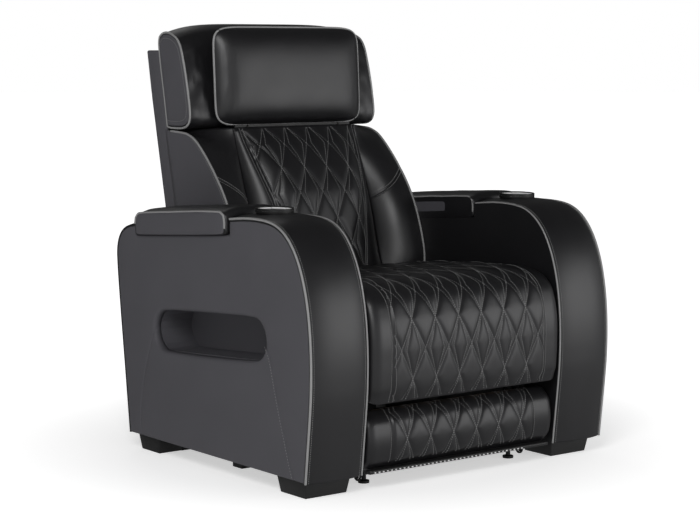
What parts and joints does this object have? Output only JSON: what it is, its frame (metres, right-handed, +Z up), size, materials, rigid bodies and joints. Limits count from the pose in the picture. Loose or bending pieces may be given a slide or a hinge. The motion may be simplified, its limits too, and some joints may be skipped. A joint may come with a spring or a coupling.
{
  "type": "cinema_recliner_seat",
  "caption": "Single power recliner cinema seat in black leather with padded arms, cup holders, lidded bins, side pockets, quilted seat and back, tilting headrest and fold-out footrest.",
  "frame": {"origin": "on the floor, under the middle of the whole seat", "axes": "+Z up, +X to the right seen from the front, +Y from the front to the rear"},
  "size_m": [0.965, 1.0016, 1.1107],
  "materials": {
    "gloss_leather": "satin",
    "matte_leather": "matte",
    "pale_piping": "matte",
    "black_steel": "satin",
    "cup_steel": "satin",
    "spring_steel": "satin",
    "black_plastic": "matte",
    "frame_timber": "matte"
  },
  "bodies": {
    "base": {"left_outer_panel": "matte_leather", "right_outer_panel": "matte_leather", "left_inner_panel": "matte_leather", "right_inner_panel": "matte_leather", "left_front_band": "gloss_leather", "right_front_band": "gloss_leather", "left_rear_band": "gloss_leather", "right_rear_band": "gloss_leather", "left_cup_holder": "cup_steel", "right_cup_holder": "cup_steel", "left_pocket_tray": "matte_leather", "right_pocket_tray": "matte_leather", "left_storage_bin": "black_plastic", "right_storage_bin": "black_plastic", "left_base_board": "frame_timber", "right_base_board": "frame_timber", "left_front_foot": "black_plastic", "right_front_foot": "black_plastic", "left_rear_foot": "black_plastic", "right_rear_foot": "black_plastic", "control_panel": "black_plastic", "base_rails": "black_steel", "rear_cross_rail": "frame_timber"},
    "left_lid": {"left_lid": "gloss_leather"},
    "right_lid": {"right_lid": "gloss_leather"},
    "button_1": {"control_button_1": "black_plastic"},
    "button_2": {"control_button_2": "black_plastic"},
    "button_3": {"control_button_3": "black_plastic"},
    "seat": {"seat_frame": "frame_timber", "seat_springs": "spring_steel", "seat_cushion": "gloss_leather", "left_side_plate": "black_steel", "right_side_plate": "black_steel", "drive_unit": "black_steel"},
    "drive_shaft": {"drive_shaft": "black_steel"},
    "drive_block": {"drive_block": "black_plastic"},
    "follower_links": {"left_follower_link": "black_steel", "right_follower_link": "black_steel"},
    "rising_links_1": {"left_rising_link_1": "black_steel", "right_rising_link_1": "black_steel"},
    "falling_links_1": {"left_falling_link_1": "black_steel", "right_falling_link_1": "black_steel"},
    "rising_links_2": {"left_rising_link_2": "black_steel", "right_rising_link_2": "black_steel"},
    "falling_links_2": {"left_falling_link_2": "black_steel", "right_falling_link_2": "black_steel"},
    "control_links": {"left_control_link": "black_steel", "right_control_link": "black_steel"},
    "footrest": {"footrest_frame": "black_steel", "footrest_pad": "gloss_leather"},
    "back": {"back_shell": "matte_leather", "back_frame": "frame_timber", "back_cushion": "gloss_leather", "left_bolster": "gloss_leather", "right_bolster": "gloss_leather"},
    "headrest": {"headrest_bracket": "black_steel", "headrest_cushion": "gloss_leather", "headrest_pillow": "gloss_leather"}
  },
  "joints": [
    {"name": "footrest", "type": "hinge", "parent": "seat", "child": "follower_links", "pos_m": [0, -0.29324, 0.105], "axis": [1, 0, 0], "range_deg": [0, 46]},
    {"name": "drive_shaft_turn", "type": "hinge", "parent": "seat", "child": "drive_shaft", "pos_m": [0, -0.29324, 0.105], "axis": [-1, 0, 0], "range_deg": [0, 84.24]},
    {"name": "rising_fold_1", "type": "hinge", "parent": "drive_shaft", "child": "rising_links_1", "pos_m": [0, -0.31071, 0.02284], "axis": [-1, 0, 0], "range_deg": [-133.92, 0]},
    {"name": "falling_fold_1", "type": "hinge", "parent": "follower_links", "child": "falling_links_1", "pos_m": [0, -0.31071, 0.18716], "axis": [-1, 0, 0], "range_deg": [0, 133.92]},
    {"name": "falling_fold_2", "type": "hinge", "parent": "rising_links_1", "child": "falling_links_2", "pos_m": [0, -0.34564, 0.18716], "axis": [-1, 0, 0], "range_deg": [0, 133.92]},
    {"name": "rising_fold_2", "type": "hinge", "parent": "falling_links_1", "child": "rising_links_2", "pos_m": [0, -0.34564, 0.02284], "axis": [-1, 0, 0], "range_deg": [-133.92, 0]},
    {"name": "footrest_turn", "type": "hinge", "parent": "rising_links_2", "child": "footrest", "pos_m": [0, -0.38057, 0.18716], "axis": [-1, 0, 0], "range_deg": [0, 144.72]},
    {"name": "control_fold", "type": "hinge", "parent": "footrest", "child": "control_links", "pos_m": [0, -0.39411, 0.11035], "axis": [-1, 0, 0], "range_deg": [-138.78, 0]},
    {"name": "drive_travel", "type": "slide", "parent": "seat", "child": "drive_block", "axis": [0, 1, 0], "range_m": [0, 0.0568]},
    {"name": "back_recline", "type": "hinge", "parent": "seat", "child": "back", "pos_m": [0, 0.14475, 0.36], "axis": [-1, 0, 0], "range_deg": [0, 45]},
    {"name": "seat_travel", "type": "slide", "parent": "base", "child": "seat", "axis": [0, -1, 0], "range_m": [0, 0.0901]},
    {"name": "headrest_tilt", "type": "hinge", "parent": "back", "child": "headrest", "pos_m": [0, 0.24476, 0.834], "axis": [1, 0, 0], "range_deg": [0, 30]},
    {"name": "left_lid_swing", "type": "hinge", "parent": "base", "child": "left_lid", "pos_m": [0, 0.26976, 0.609], "axis": [-1, 0, 0], "range_deg": [0, 75]},
    {"name": "right_lid_swing", "type": "hinge", "parent": "base", "child": "right_lid", "pos_m": [0, 0.26976, 0.609], "axis": [-1, 0, 0], "range_deg": [0, 75]},
    {"name": "button_press_1", "type": "slide", "parent": "base", "child": "button_1", "axis": [-1, 0, 0], "range_m": [0, 0.0015], "stiffness_N_per_m": 300},
    {"name": "button_press_2", "type": "slide", "parent": "base", "child": "button_2", "axis": [-1, 0, 0], "range_m": [0, 0.0015], "stiffness_N_per_m": 300},
    {"name": "button_press_3", "type": "slide", "parent": "base", "child": "button_3", "axis": [-1, 0, 0], "range_m": [0, 0.0015], "stiffness_N_per_m": 300}
  ],
  "couplings": [
    {"joint": "drive_shaft_turn", "follows": "footrest", "ratio": 1.6957},
    {"joint": "rising_fold_1", "follows": "footrest", "ratio": -2.6957},
    {"joint": "falling_fold_1", "follows": "footrest", "ratio": 2.6957},
    {"joint": "falling_fold_2", "follows": "footrest", "ratio": 2.6957},
    {"joint": "rising_fold_2", "follows": "footrest", "ratio": -2.6957},
    {"joint": "footrest_turn", "follows": "footrest", "ratio": 2.913},
    {"joint": "control_fold", "follows": "footrest", "ratio": -2.7935},
    {"joint": "drive_travel", "follows": "footrest", "m_per_rad": 0.070498},
    {"joint": "seat_travel", "follows": "back_recline", "m_per_rad": 0.11459}
  ]
}
